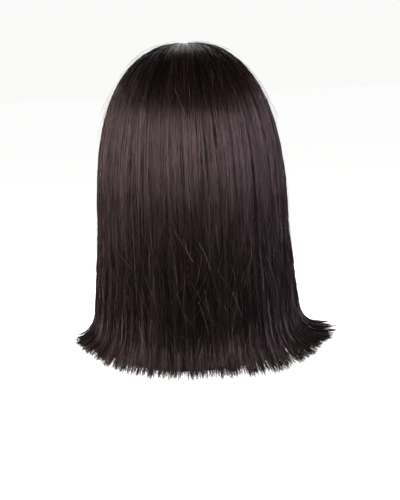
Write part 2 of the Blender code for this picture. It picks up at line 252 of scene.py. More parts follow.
# Locks from the wearer's right temple round the back to the left. Width is a share of an even width,
# length of FALL_LENGTH, flip of FLIP_ANGLE and notch, the one after the lock, of NOTCH_DEPTH. Gather
# is how far its ends draw together.
LOCKS = (
    Lock(width=0.9, length=0.97, flip=0.08, notch=0.5, gather=0.3),
    Lock(width=1.1, length=0.99, flip=0.20, notch=0.6, gather=0.3),
    Lock(width=1.0, length=0.97, flip=0.48, notch=0.9, gather=0.5),
    Lock(width=0.7, length=0.87, flip=1.05, notch=1.8, gather=0.6),
    Lock(width=1.2, length=0.955, flip=1.00, notch=1.1, gather=0.35),
    Lock(width=0.8, length=0.94, flip=0.80, notch=1.0, gather=0.25),
    Lock(width=1.0, length=0.98, flip=0.60, notch=0.7, gather=0.2),
    Lock(width=1.1, length=0.995, flip=0.38, notch=0.6, gather=0.15),
    Lock(width=0.9, length=0.995, flip=0.24, notch=0.5, gather=0.15),
    Lock(width=1.2, length=0.98, flip=0.15, notch=0.4, gather=0.1),
    Lock(width=1.0, length=0.99, flip=0.11, notch=0.4, gather=0.1),
    Lock(width=1.1, length=0.98, flip=0.14, notch=0.5, gather=0.1),
    Lock(width=0.9, length=0.965, flip=0.22, notch=0.5, gather=0.1),
    Lock(width=1.0, length=0.945, flip=0.34, notch=0.6, gather=0.15),
    Lock(width=1.1, length=0.91, flip=0.48, notch=0.9, gather=0.3),
    Lock(width=0.9, length=0.86, flip=0.64, notch=1.0, gather=0.4),
    Lock(width=1.0, length=0.83, flip=0.98, notch=1.2, gather=0.5),
    Lock(width=0.9, length=0.84, flip=0.76, notch=0.8, gather=0.4),
    Lock(width=1.1, length=0.93, flip=0.44, notch=0.7, gather=0.4),
    Lock(width=1.0, length=0.98, flip=0.18, notch=0.6, gather=0.3),
    Lock(width=0.9, length=0.97, flip=0.08, notch=0.5, gather=0.3),
)
lock_ends = np.cumsum([lock.width for lock in LOCKS]) / sum(lock.width for lock in LOCKS)
lock_ends = -FRONT_EDGE + 2 * FRONT_EDGE * lock_ends
lock_starts = np.concatenate(([-FRONT_EDGE], lock_ends[:-1]))
lock_middles = (lock_starts + lock_ends) / 2


def smooth(share):
    """0 to 1 with level ends."""
    share = np.clip(share, 0.0, 1.0)
    return share * share * (3 - 2 * share)


def lock_value(name, bearing):
    """One of the locks' values, eased between their middles."""
    return np.interp(bearing, lock_middles, [getattr(lock, name) for lock in LOCKS])


def signed_power(value, exponent):
    """Power of a value's size, with its sign."""
    return np.sign(value) * np.abs(value) ** exponent


def rim(form, bearing):
    """Plan point of a form's widest outline."""
    power = 2 / PLAN_ROUNDNESS
    half_length = np.where(np.cos(bearing) > 0, form.half_back, form.half_front)
    x = form.half_width * signed_power(np.sin(bearing), power)
    return x, half_length * signed_power(np.cos(bearing), power)


def outward(bearing):
    """Level direction from the cap out through the hair."""
    outer, inner = rim(over_hair, bearing), rim(under_hair, bearing)
    x, y = outer[0] - inner[0], outer[1] - inner[1]
    size = np.hypot(x, y)
    return x / size, y / size


def dome_height(form, x, y):
    """Height of a form above a plan point, and the point's share of the way to the outline."""
    half_length = np.where(y > 0, form.half_back, form.half_front)
    total = np.abs(x / form.half_width) ** PLAN_ROUNDNESS + np.abs(y / half_length) ** PLAN_ROUNDNESS
    share = np.minimum(total ** (1 / PLAN_ROUNDNESS), 1.0)
    return form.level + form.height * (1 - share**form.roundness) ** (1 / form.roundness), share


def parting_root(bearing):
    """Plan point where a path leaves the parting: round its rear end, or along its side."""
    turn = np.clip(bearing / REAR_FAN, -1, 1) * math.pi / 2
    share = np.clip((np.abs(bearing) - REAR_FAN) / (FRONT_EDGE - REAR_FAN), 0, 1)
    y = PARTING_REAR + ROOT_REACH * np.cos(turn) + share * (PARTING_FRONT - PARTING_REAR)
    return ROOT_REACH * np.sin(turn), y


def even_shares(form):
    """Shares of the way to the outline, even along the middle of the back but closer near the roots."""
    share = np.linspace(0, 1, DOME_STEPS)
    height = form.height * (1 - share**form.roundness) ** (1 / form.roundness)
    reached = np.cumsum(np.hypot(np.diff(share) * form.half_back, np.diff(height)))
    reached = np.concatenate(([0], reached)) / reached[-1]
    return np.interp(np.linspace(0, 1, DOME_POINTS) ** ROOT_CLOSENESS, reached, share)


def over_dome(form, bearing):
    """Points on a form on the way from the parting to its outline."""
    root_x, root_y = parting_root(bearing)
    rim_x, rim_y = rim(form, bearing)
    x = root_x + (rim_x - root_x) * dome_shares
    y = root_y + (rim_y - root_y) * dome_shares
    return x, y, dome_height(form, x, y)[0]


def fall_profile(bearing, length, flip, curl):
    """How far out and how far down the hanging hair is at each point below the dome."""
    fallen = np.linspace(0, 1, FALL_POINTS + 1) * length / FALL_LENGTH
    lean = SIDE_SPREAD * np.abs(np.sin(bearing)) - BACK_TUCK * np.maximum(np.cos(bearing), 0)
    angle = lean * smooth(fallen / LEAN_EASING)
    turned = FLIP_ANGLE * flip * smooth((fallen - FLIP_START) / (1 - FLIP_START))
    turned = turned + curl * flip**2 * smooth((fallen - TIP_CURL_START) / (1 - TIP_CURL_START))
    angle = angle + np.minimum(turned, MOST_TURN)
    middle = (angle[:, 1:] + angle[:, :-1]) / 2
    pace = length / FALL_POINTS
    return np.cumsum(pace * np.sin(middle), axis=1), np.cumsum(pace * np.cos(middle), axis=1)


def combed_points(bearing, length, flip, curl=0.0):
    """Points down the hair's outer face, from the parting to the cut ends, and the way out at each.

    bearing has a row for each path and a column for each point, so a path may drift on its way down."""
    dome_bearing, fall_bearing = bearing[:, :DOME_POINTS], bearing[:, DOME_POINTS:]
    x, y, z = over_dome(over_hair, dome_bearing)
    root_x, root_y = parting_root(dome_bearing)
    low, covered = dome_height(under_hair, x, y)
    low = low + ROOT_THICKNESS
    risen = smooth(np.hypot(x - root_x, y - root_y) / ROOT_RISE)
    z = np.where(covered < 1, np.maximum(low, low + (z - low) * risen), z)

    out, down = fall_profile(bearing[:, DOME_POINTS - 1 :], length, flip, curl)
    side_x, side_y = outward(fall_bearing)
    rim_x, rim_y = rim(over_hair, fall_bearing)
    fall = (rim_x + side_x * out, rim_y + side_y * out, over_hair.level - down)
    points = np.stack([np.concatenate(pair, axis=1) for pair in zip((x, y, z), fall)], axis=2)

    along = np.gradient(points, axis=1)
    side_x, side_y = outward(bearing)
    across = np.stack((side_y, -side_x, np.zeros_like(side_x)), axis=2)
    out_of_hair = np.cross(across, along)
    return points, out_of_hair / np.linalg.norm(out_of_hair, axis=2, keepdims=True)


def lining_points(bearing, points, out_of_hair):
    """Points down the hair's inner face: over the cap, and then inside the hanging hair to its ends."""
    lining = np.empty_like(points)
    lining[:, :DOME_POINTS] = np.stack(over_dome(under_hair, bearing[:, :DOME_POINTS]), axis=2)
    last = points.shape[1] - 1
    rows = np.arange(last + 1)
    for number, path in enumerate(points):
        first = np.argmax(path[:, 2] < under_hair.level)
        place = np.linspace(first, last, FALL_POINTS + 1)[1:]
        share = (place - first) / (last - first)
        at_level = np.linalg.norm(path[first, :2] - lining[number, DOME_POINTS - 1, :2])
        depth = at_level + (HANG_THICKNESS - at_level) * smooth(share / HANG_START)
        depth += (TIP_THICKNESS - HANG_THICKNESS) * smooth((share - HANG_START) / (1 - HANG_START))
        for axis in range(3):
            across = np.interp(place, rows, path[:, axis])
            turned = np.interp(place, rows, out_of_hair[number, :, axis])
            lining[number, DOME_POINTS:, axis] = across - turned * depth
    return lining


dome_shares = even_shares(over_hair)


# The mass of the hair: the thousands of hairs below the ones that lie on top, as closed shells over the
# cap, one for the back and one for each side, with a fine comb of ridges and a notch between locks. The
# same human hair as the strands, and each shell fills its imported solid.
PATH_ROWS = DOME_POINTS + FALL_POINTS
MASS_DEPTH = 1.9 * MM  # below the outer face, where the strands lie
MOST_SUNK = 0.6  # share of the hair's thickness
COMB_DEPTH = 1.0 * MM
COMB_SPACING = 3.4 * MM
COMB_EVEN = 0.6  # share of the ridges' depth that stays the same all round
COMB_BEAT = 0.4  # and the share that comes and goes
COMB_BEAT_RATE = 23
COLUMN_SPACING = 1.2 * MM
MASS_LENGTH = 0.955  # share of a lock's length, so that its ends show as single strands
MASS_TRIM = 0.03  # less for each whole notch beside it
MASS_ROWS = 38
ROW_CROWDING = 0.07  # how far the rows draw together in the middle, where the hair bends least
NOTCH_DEPTH = 16 * MM
GROOVE_DEPTH = 2.0 * MM
GROOVE_START = 0.5  # share of a path
GROOVE_PLACES = (0, 0.2, 0.5, 0.8, 1)  # shares of a lock's width
GROOVE_SHARES = (1, 0.22, 0, 0.22, 1)
ROOT_EASING = 0.1  # share of a path in which the mass sinks below the outer face
SHEET_MAP = 0.48  # share of the map's height that each face of a shell takes up
STREAK_SCALE = (500.0, 9.0, 1.0)  # streaks across and down the map
STREAK_RELIEF = 0.4 * MM
HAIR_IOR = 1.55

Panel = namedtuple("Panel", "name start end")
PANELS = (
    Panel(name="right_hair", start=-FRONT_EDGE, end=lock_ends[4]),
    Panel(name="back_hair", start=lock_ends[4], end=lock_ends[15]),
    Panel(name="left_hair", start=lock_ends[15], end=FRONT_EDGE),
)
Sheets = namedtuple("Sheets", "outer inner")


def groove_at(bearing):
    """How deep the groove between two locks is at a bearing, and that groove's notch."""
    lock = np.minimum(np.searchsorted(lock_ends, bearing), len(LOCKS) - 1)
    place = (bearing - lock_starts[lock]) / (lock_ends[lock] - lock_starts[lock])
    notches = np.array([lock.notch for lock in LOCKS])
    notch = np.where(place < 0.5, notches[np.maximum(lock - 1, 0)], notches[lock])
    return np.interp(place, GROOVE_PLACES, GROOVE_SHARES), notch


def mass_sheets(start, end):
    """Outer and inner faces of a panel's mass between two bearings: a row of points down each column."""
    count = round((end - start) * over_hair.half_width / COLUMN_SPACING)
    columns = np.linspace(start, end, count)
    bearing = np.repeat(columns[:, None], PATH_ROWS, axis=1)
    groove, notch = groove_at(columns)
    trimmed = MASS_LENGTH - MASS_TRIM * lock_value("notch", columns)
    length = FALL_LENGTH * trimmed * lock_value("length", columns) - NOTCH_DEPTH * groove * notch
    points, out_of_hair = combed_points(bearing, length[:, None], lock_value("flip", columns)[:, None])
    inner = lining_points(bearing, points, out_of_hair)
    share = np.linspace(0, 1, PATH_ROWS)
    comb = 0.5 + 0.5 * np.cos(2 * math.pi * columns * over_hair.half_width / COMB_SPACING)
    comb *= COMB_EVEN + COMB_BEAT * np.cos(columns * COMB_BEAT_RATE)
    depth = (MASS_DEPTH + COMB_DEPTH * comb)[:, None] * smooth(share / ROOT_EASING)
    depth += (GROOVE_DEPTH * groove)[:, None] * smooth((share - GROOVE_START) / (1 - GROOVE_START))
    depth = np.minimum(depth, MOST_SUNK * np.linalg.norm(points - inner, axis=2))
    return Sheets(outer=points - out_of_hair * depth[:, :, None], inner=inner)


def shell_mesh(name, sheets):
    """Closed shell between two sheets. Its map has the outer face above the inner one."""
    columns, rows = sheets.outer.shape[:2]
    shell = bmesh.new()
    bmesh.ops.create_grid(shell, x_segments=columns - 1, y_segments=rows - 1, size=0.5)
    spread = bmesh.ops.extrude_face_region(shell, geom=shell.faces[:], use_keep_orig=True)
    lining = {item for item in spread["geom"] if isinstance(item, bmesh.types.BMVert)}
    map_layer = shell.loops.layers.uv.new("OFBake")
    for face in shell.faces:
        shift = 0.0 if all(vert in lining for vert in face.verts) else 1 - SHEET_MAP
        for loop in face.loops:
            across, up = loop.vert.co.x + 0.5, loop.vert.co.y + 0.5
            loop[map_layer].uv = (across, shift + SHEET_MAP * up)
    for vert in shell.verts:
        column = round((vert.co.x + 0.5) * (columns - 1))
        row = round((0.5 - vert.co.y) * (rows - 1))
        vert.co = (sheets.inner if vert in lining else sheets.outer)[column, row]
    bmesh.ops.recalc_face_normals(shell, faces=shell.faces)
    mesh = bpy.data.meshes.new(name)
    shell.to_mesh(mesh)
    shell.free()
    mesh.shade_smooth()
    return mesh


def mass_material(name, colours):
    """Human hair as a mass: satin, with streaks about 0.4 mm wide down it, drawn coarse to show."""
    material, tree = new_material(name)
    place = add_node(tree, "ShaderNodeUVMap", {"uv_map": "OFBake"})
    along = add_node(tree, "ShaderNodeMapping", {}, {"Vector": place.outputs["UV"]})
    along.inputs["Scale"].default_value = STREAK_SCALE
    streaks = add_node(
        tree,
        "ShaderNodeTexNoise",
        {"Scale": 1.0, "Detail": 3.0, "Roughness": 0.6},
        {"Vector": along.outputs["Vector"]},
    )
    height = streaks.outputs["Fac"]
    normal = raised(tree, height, strength=0.7, distance=STREAK_RELIEF)
    finish(tree, colour_ramp(tree, height, colours), normal, roughness=0.5, ior=HAIR_IOR, specular=0.12)
    return material


def add_piece(name, mesh, material):
    """Links a finished mesh as a piece that rides on the wig's one body."""
    mesh.materials.append(material)
    piece = bpy.data.objects.new(name, mesh)
    bpy.context.scene.collection.objects.link(piece)
    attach(piece, "root")
    return piece


share = np.linspace(0, 1, MASS_ROWS)
share = share - ROW_CROWDING * np.sin(2 * math.pi * share)
mass_rows = np.round(share * (PATH_ROWS - 1)).astype(int)
hair_mass = mass_material("hair_mass", ((0.30, "#050303"), (0.52, "#0a0606"), (0.74, "#150e0e")))
masses = {panel.name: mass_sheets(panel.start, panel.end) for panel in PANELS}
for name, sheets in masses.items():
    mesh = shell_mesh(name + "_mass", Sheets(sheets.outer[:, mass_rows], sheets.inner[:, mass_rows]))
    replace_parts(add_piece(name + "_mass", mesh, hair_mass), name)


# The hair at the nape: shorter hair sewn to the lower edge of the cap, which closes the back below it.
# The same human hair, painted darker and duller than the rest as painted shade, since it lies in shade.
NAPE_REACH = math.radians(68)
NAPE_START = -118 * MM
NAPE_OVERLAP = 2 * MM  # down from the cap's lowest point, where the nape's hair still clears the cap
NAPE_GAP = 1.0 * MM  # from the back panel's inner face
NAPE_THICKNESS = 7 * MM
NAPE_LENGTH = 0.97
NAPE_SIDE_LENGTH = 0.84
NAPE_SIDE_FLIP = 0.4
NAPE_COLUMNS = 110
NAPE_ROWS = 22
HEAD_NAPE = 75 * MM  # how far below its widest level the head's form would close


def nape_sheets():
    """Outer and inner faces of the nape's hair."""
    columns = np.linspace(-NAPE_REACH, NAPE_REACH, NAPE_COLUMNS)
    share = (columns / NAPE_REACH)[:, None] ** 2
    bearing = np.repeat(columns[:, None], PATH_ROWS, axis=1)
    length = np.full_like(share, FALL_LENGTH)
    points, out_of_hair = combed_points(bearing, length, NAPE_SIDE_FLIP * share)
    lining = lining_points(bearing, points, out_of_hair)
    rows = np.linspace(0, 1, NAPE_ROWS)
    outer = np.empty((NAPE_COLUMNS, NAPE_ROWS, 3))
    for number, path in enumerate(lining):
        below = np.nonzero(path[:, 2] < NAPE_START)[0][0]
        trim = FALL_POINTS * (1 - (NAPE_LENGTH + (NAPE_SIDE_LENGTH - NAPE_LENGTH) * share[number, 0]))
        place = below + rows * (len(path) - 1 - trim - below)
        for axis in range(3):
            outer[number, :, axis] = np.interp(place, np.arange(len(path)), path[:, axis])
    side_x, side_y = outward(columns)
    side = np.stack((side_x, side_y, np.zeros_like(side_x)), axis=1)[:, None, :]
    outer -= side * NAPE_GAP
    thickness = NAPE_THICKNESS + (TIP_THICKNESS - NAPE_THICKNESS) * smooth(2 * rows - 1)
    inner = outer - side * thickness[None, :, None]
    beside_cap = inner[:, :, 2] > cap_low[2] - NAPE_OVERLAP
    below_level = np.clip((inner[:, :, 2] - under_hair.level) / HEAD_NAPE, -1, 0)
    girth = (1 - np.abs(below_level) ** under_hair.roundness) ** (1 / under_hair.roundness)
    covered = dome_height(under_hair, inner[:, :, 0], inner[:, :, 1])[1]
    inner[:, :, :2] *= np.where(beside_cap, np.maximum(girth / covered, 1.0), 1.0)[:, :, None]
    return Sheets(outer=outer, inner=inner)


# Painted shade: darker colours than the other mass, for the nape hair that lies in shade
nape_mass_shade_painted = mass_material("nape_hair_mass", ((0.30, "#040303"), (0.52, "#090505"), (0.74, "#120c0c")))
nape = nape_sheets()
nape_piece = add_piece("nape_hair_mass", shell_mesh("nape_hair_mass", nape), nape_mass_shade_painted)
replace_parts(nape_piece, "nape_hair")


# The strands that show: straight human hair brushed smooth, knotted or sewn to the cap in rows and cut
# by hand to a ragged line. A hair of 0.07 mm is too fine to show, so each strand stands for the few that
# lie together. They hang in narrow clumps, rounded across, that draw together on the way down.
Layer = namedtuple(
    "Layer",
    "name number clump_spacing clump_width shallow deep first_root last_root radius rows cut",
)
LAYERS = (
    Layer("deep", 1400, 3.4 * MM, 3.4 * MM, 1.2 * MM, 2.2 * MM, 0, 20, 0.40 * MM, 13, 4.0 * MM),
    Layer("top", 2900, 1.7 * MM, 1.2 * MM, 0.1 * MM, 1.2 * MM, 0, 1, 0.25 * MM, 20, 0.0 * MM),
    Layer("over", 2300, 2.2 * MM, 1.6 * MM, -0.1 * MM, 0.6 * MM, 38, 59, 0.28 * MM, 10, 2.0 * MM),
)
# Rows of a combed path that a whole strand keeps: close where it bends, far apart where it runs straight
STRAND_ROWS = (0, 1, 2.5, 4.5, 7, 10, 13.5, 17, 20.5, 24, 28, 32, 37, 46, 56, 64, 69, 73, 76.5, 79)
STRAND_SIDES = 3
MAP_STRIP = 0.8  # share of its strip of the map that a strand takes up
ROOT_WIDTH, ROOT_TAPER = 0.75, 0.1  # shares of a strand's width and length, here and for its tip
TIP_WIDTH, TIP_TAPER = 0.15, 0.14
SELDOM_ALONG = (0.0, 0.3, 1.0)  # a direction that hardly any strand runs in
SMALLEST = 1e-6  # keeps a strand that does run in it from a division by zero
STRAND_WIDTHS = (0.7, 1.25)  # shares of a layer's radius
FINE_WIDTHS = (0.7, 1.2)  # and of the other strands' radius
WAVE_CYCLES = (0.8, 1.2)  # shares of a wave's cycles
LOCK_GATHER_START = 0.4  # share of the fall

# Clumps: how far they and their strands stray, in millimetres aside and in metres of depth
CLUMP_PLACES = (0.1, 0.9)  # shares of its spacing at which a clump may hang
CLUMP_SWAY, CLUMP_SWAY_ROWS = 2.2, 30
CLUMP_WAVE = 0.7 * MM
CLUMP_TONES = (1.1, 1.6)  # of a beta distribution from dark to light
CLUMP_TRIMS = (-0.035, 0.015)  # shares of its length, times the lock's notch
STRAND_SWAY, STRAND_SWAY_ROWS = 0.9, 20
STRAND_ASIDE = 0.5  # of the clump's width
WIDE_CHANCE, WIDE_ASIDE = 0.35, 2.6  # some strands lie that many times farther aside
GATHER_FACTOR, GATHER_LOOSENING = 1.3, 0.4
GATHER_START, GATHER_ROWS = 30, 50
CLUMP_GATHERS = (0.5, 1.05)
STRAND_DEPTH = 0.6 * MM
ROUND_DEPTH, MOST_ROUND = 0.5 * MM, 3.0  # how far a clump's edges lie below its middle
ROUND_START, ROUND_ROWS = 20, 40
HIGHEST = 0.3 * MM  # above the combed form
ROOT_ROWS = 8  # in which the strands go down to their own depth
BURIED_DEPTH = 2.2 * MM  # of the roots that are sewn below the strands above them
BURIED_ROWS = 5
SHOWN_ROOT = 2  # last row of the roots that aren't buried
TONE_SPREAD = 0.2

# Ends: the strands' lengths and flips, and the fans at the sides where the clumps flip out unevenly
LENGTH_GAIN, LENGTH_SPREAD, MOST_GAIN = 0.02, 0.025, 0.055  # shares of FALL_LENGTH
CLUMP_FLIP_SPREAD, STRAND_FLIP_SPREAD = 0.07, 0.03
EXTRA_FLIP, FLIPPED = 0.2, 0.4  # more flip for the clumps that flip at least this much
Fan = namedtuple("Fan", "start end most")
FANS = (
    Fan(math.radians(-112), math.radians(-76), 0.75),
    Fan(math.radians(52), math.radians(122), 0.4),
)
FAN_EASING = 0.25  # of bearing
MOST_FLIP = 1.65
HAIR_GLINT = "#ffdde3"  # light that has passed through a hair comes back a little redder
WORN_START, DULL_START, TIP_DULLNESS = 0.90, 0.88, 0.2  # the first two as shares of a strand's length
PER_MM = MM / over_hair.half_width  # bearing that a millimetre takes up at the side of the head

path_rows = np.arange(PATH_ROWS)
lock_gather = np.array([lock.gather for lock in LOCKS])


def waves(count, cycles, height, random):
    """Slow random waves down each of some paths."""
    place = path_rows[None, :] / PATH_ROWS
    total = np.zeros((count, PATH_ROWS))
    for cycle in cycles:
        cycles_down = cycle * random.uniform(*WAVE_CYCLES, (count, 1))
        turn = cycles_down * place + random.uniform(0, 1, (count, 1))
        total += np.sin(2 * math.pi * turn) * random.normal(0, height / len(cycles), (count, 1))
    return total


def sampled(paths, places):
    """Points of each path at its own places, in rows."""
    low = np.clip(places.astype(int), 0, paths.shape[1] - 2)
    blend = (places - low)[:, :, None]
    number = np.arange(len(paths))[:, None]
    return paths[number, low] * (1 - blend) + paths[number, low + 1] * blend


def gathered(bearing, middle, strength):
    """Bearings down the paths, drawn towards the middle of the lock that each one lies in."""
    fallen = np.clip((path_rows - DOME_POINTS) / FALL_POINTS, 0, 1)[None, :]
    lock = np.minimum(np.searchsorted(lock_ends, middle), len(LOCKS) - 1)
    drawn = smooth((fallen - LOCK_GATHER_START) / (1 - LOCK_GATHER_START))
    drawn = (lock_gather[lock] * strength)[:, None] * drawn
    return np.clip(bearing + (lock_middles[lock][:, None] - bearing) * drawn, -FRONT_EDGE, FRONT_EDGE)


def clumped_strands(layer, start, end, random):
    """Points down one layer's strands between two bearings, and each strand's tone, dark to light."""
    count = round(layer.number * (end - start) / (2 * FRONT_EDGE))
    clumps = round((end - start) / PER_MM * MM / layer.clump_spacing)
    middle = np.arange(clumps) + random.uniform(*CLUMP_PLACES, clumps)
    middle = start + (end - start) * middle / clumps
    sway = waves(clumps, (0.8, 1.7), CLUMP_SWAY, random) * PER_MM * smooth(path_rows / CLUMP_SWAY_ROWS)
    clump_bearing = middle[:, None] + sway
    clump_depth = random.uniform(layer.shallow, layer.deep, (clumps, 1))
    clump_depth = clump_depth + waves(clumps, (1.3, 2.4), CLUMP_WAVE, random)
    clump_tone = random.beta(*CLUMP_TONES, clumps)
    ragged = lock_value("notch", middle)
    clump_length = lock_value("length", middle) * (1 + random.uniform(*CLUMP_TRIMS, clumps) * ragged)
    clump_flip = lock_value("flip", middle)
    clump_flip = clump_flip * (1 + random.normal(0, CLUMP_FLIP_SPREAD, clumps) * ragged)
    more_flip = np.maximum(random.normal(0, EXTRA_FLIP, clumps), 0)
    clump_flip += more_flip * smooth((clump_flip - FLIPPED) / FLIPPED)
    for fan in FANS:
        beside = smooth((middle - fan.start) / FAN_EASING) * smooth((fan.end - middle) / FAN_EASING)
        clump_flip += random.uniform(0, fan.most, clumps) * beside
    clump_flip = np.minimum(clump_flip, MOST_FLIP)

    clump = np.arange(count) % clumps
    aside = random.normal(0, STRAND_ASIDE, (count, 1))
    aside = aside * np.where(random.uniform(0, 1, (count, 1)) < WIDE_CHANCE, WIDE_ASIDE, 1.0)
    drawn = GATHER_FACTOR * lock_value("gather", middle[clump])[:, None] - GATHER_LOOSENING
    width = layer.clump_width / MM * (1 - drawn * smooth((path_rows - GATHER_START) / GATHER_ROWS))
    bearing = clump_bearing[clump] + aside * width * PER_MM
    sway = waves(count, (1.0, 2.6), STRAND_SWAY, random) * PER_MM * smooth(path_rows / STRAND_SWAY_ROWS)
    bearing = gathered(bearing + sway, middle[clump], random.uniform(*CLUMP_GATHERS, clumps)[clump])
    gain = np.minimum(random.normal(LENGTH_GAIN, LENGTH_SPREAD, count), MOST_GAIN)
    length = FALL_LENGTH * (clump_length[clump] + gain) - layer.cut
    flip = clump_flip[clump] + random.normal(0, STRAND_FLIP_SPREAD, count)
    points, out_of_hair = combed_points(bearing, length[:, None], flip[:, None], TIP_CURL)

    root = random.uniform(layer.first_root, layer.last_root, (count, 1))
    sewn = BURIED_DEPTH * (1 - smooth((path_rows - root) / BURIED_ROWS)) * (root > SHOWN_ROOT)
    rounded = ROUND_DEPTH * np.minimum(aside**2, MOST_ROUND)
    rounded = rounded * smooth((path_rows - ROUND_START) / ROUND_ROWS)
    depth = clump_depth[clump] + rounded + random.uniform(0, STRAND_DEPTH, (count, 1))
    depth = np.maximum(depth, -HIGHEST) * smooth(path_rows / ROOT_ROWS) + sewn
    points = points - out_of_hair * depth[:, :, None]

    even = np.linspace(0, 1, len(STRAND_ROWS))
    begin = np.interp(root, STRAND_ROWS, even)
    places = np.interp(begin + (1 - begin) * np.linspace(0, 1, layer.rows), even, STRAND_ROWS)
    tone = np.clip(clump_tone[clump] + random.normal(0, TONE_SPREAD, count), 0, 1)
    return sampled(points, places), tone


def strand_mesh(name, points, radius, tone, random):
    """Joined closed tubes, one for each strand, thinner at the root and the tip.

    Its map has the strands side by side from dark to light, and runs down from their roots."""
    count, rows = points.shape[:2]
    along = np.gradient(points, axis=1)
    along /= np.linalg.norm(along, axis=2, keepdims=True)
    first = np.cross(along, SELDOM_ALONG)
    first /= np.maximum(np.linalg.norm(first, axis=2, keepdims=True), SMALLEST)
    second = np.cross(along, first)
    down = np.linspace(0, 1, rows)
    taper = ROOT_WIDTH + (1 - ROOT_WIDTH) * smooth(down / ROOT_TAPER)
    taper = taper - (1 - TIP_WIDTH) * smooth((down - (1 - TIP_TAPER)) / TIP_TAPER)
    width = (radius[:, None] * taper)[:, :, None, None]
    corner = np.arange(STRAND_SIDES) / STRAND_SIDES
    turn = 2 * math.pi * (corner[None, :] + random.uniform(0, 1, (count, 1)))[:, None, :, None]
    ring = np.cos(turn) * first[:, :, None, :] + np.sin(turn) * second[:, :, None, :]
    corners = points[:, :, None, :] + width * ring

    index = np.arange(count * rows * STRAND_SIDES).reshape(count, rows, STRAND_SIDES)
    beside = np.roll(index, -1, axis=2)
    quads = np.stack((index[:, :-1], beside[:, :-1], beside[:, 1:], index[:, 1:]), axis=-1)
    quads = quads.reshape(-1, 4)
    faces = np.concatenate((quads[:, (0, 1, 2)], quads[:, (0, 2, 3)], index[:, 0, ::-1], index[:, -1]))
    mesh = bpy.data.meshes.new(name)
    mesh.from_pydata(corners.reshape(-1, 3), [], faces)
    mesh.shade_smooth()

    rank = np.argsort(np.argsort(tone))
    across = np.broadcast_to((rank[:, None, None] + MAP_STRIP * corner) / count, index.shape).ravel()
    fallen = np.broadcast_to(down[None, :, None], index.shape).ravel()
    spots = np.stack((across, fallen), axis=1)[faces.ravel()]
    mesh.uv_layers.new(name="OFBake").data.foreach_set("uv", spots.ravel())
    tones = np.broadcast_to(tone[:, None, None], index.shape).ravel()
    for layer, values in (("tone", tones), ("down", fallen)):
        mesh.attributes.new(layer, "FLOAT", "POINT").data.foreach_set("value", values)
    return mesh


def strand_material(name, body, tips, roughness, specular):
    """Human hair, brown-black and glossy, browner in its lighter strands and its dull, worn tips."""
    material, tree = new_material(name)
    tone = add_node(tree, "ShaderNodeAttribute", {"attribute_name": "tone"}).outputs["Fac"]
    down = add_node(tree, "ShaderNodeAttribute", {"attribute_name": "down"}).outputs["Fac"]
    at_tip = {"From Min": WORN_START, "From Max": 1.0}
    worn = add_node(tree, "ShaderNodeMapRange", at_tip, {"Value": down})
    colours = {"A": colour_ramp(tree, tone, body), "B": colour_ramp(tree, tone, tips)}
    mixed = add_node(
        tree, "ShaderNodeMix", {"data_type": "RGBA"}, {"Factor": worn.outputs["Result"], **colours}
    )
    by_tone = {"To Min": roughness[0], "To Max": roughness[1]}
    gloss = add_node(tree, "ShaderNodeMapRange", by_tone, {"Value": tone})
    at_tip = {"From Min": DULL_START, "From Max": 1.0, "To Max": TIP_DULLNESS}
    dulled = add_node(tree, "ShaderNodeMapRange", at_tip, {"Value": down})
    rough = added(tree, gloss.outputs["Result"], dulled.outputs["Result"])
    shader = add_node(
        tree,
        "ShaderNodeBsdfPrincipled",
        {"IOR": HAIR_IOR, "Specular IOR Level": specular, "Specular Tint": linear(HAIR_GLINT)},
        {"Base Color": mixed.outputs["Result"], "Roughness": rough},
    )
    add_node(tree, "ShaderNodeOutputMaterial", links={"Surface": shader.outputs["BSDF"]})
    return material


hair_strands = strand_material(
    "brown_black_hair",
    body=((0.0, "#070303"), (0.6, "#0f0706"), (1.0, "#2d1f1e")),
    tips=((0.0, "#0e0706"), (0.5, "#190e0c"), (1.0, "#34201c")),
    roughness=(0.34, 0.13),
    specular=0.55,
)
# Painted shade: a darker, less shiny copy of the same hair, for the deep strands under the top layer and
# the strands laid over the lower half
shade_painted_strands = strand_material(
    "brown_black_hair_shade_painted",
    body=((0.0, "#050202"), (0.6, "#0a0403"), (1.0, "#1e1312")),
    tips=((0.0, "#0c0605"), (0.5, "#140b09"), (1.0, "#2a1915")),
    roughness=(0.50, 0.30),
    specular=0.12,
)
random = np.random.default_rng(11)
for layer in LAYERS:
    for panel in PANELS:
        points, tone = clumped_strands(layer, panel.start, panel.end, random)
        radius = layer.radius * random.uniform(*STRAND_WIDTHS, len(points))
        name = panel.name + "_" + layer.name + "_strands"
        # the deep layer and the layer over the lower half get the painted shade copy
        material = hair_strands if layer.name == "top" else shade_painted_strands
        add_piece(name, strand_mesh(name, points, radius, tone, random), material)


# Loose single hairs: fine ones that cross over the others on the lower half, the thin fringe of cut
# tips along the hem, and short new hairs that stand off the crown. They are the same hair, painted
# lighter as painted light, for the light that each one catches by itself.
Stray = namedtuple(
    "Stray", "name number first_row last_row shortest longest slope lift radius extra points"
)
STRAYS = (
    Stray("crossing_hairs", 1500, 32, 71, 4, 11, 14.0, 0.6 * MM, 0.12 * MM, 0.0, 9),
    Stray("hem_hairs", 3300, 70, 76, 30, 40, 8.0, 0.4 * MM, 0.12 * MM, 8.0 * MM, 6),
    Stray("crown_hairs", 300, 1, 22, 3, 8, 14.0, 1.8 * MM, 0.09 * MM, 0.0, 8),
)
ROW_LENGTH = FALL_LENGTH / FALL_POINTS
STRAY_BEND, BEND_ROWS = 0.16, 20
STRAY_SWAY, STRAY_SWAY_ROWS = 0.8, 4
STRAY_GATHERS = (0.0, 0.8)
STRAY_EXTRAS = (-0.6, 1.0)  # shares of extra, the length that may be added
STRAY_FLIP_SPREAD = 0.08
STRAY_SUNK = 0.6 * MM  # of a root in the hair below it
LIFT_PACE, SINK_PACE = 1.5, 4  # above 1, a hair is lifted or out of the hair before its tip
STRAY_TONES = (1.1, 1.9)


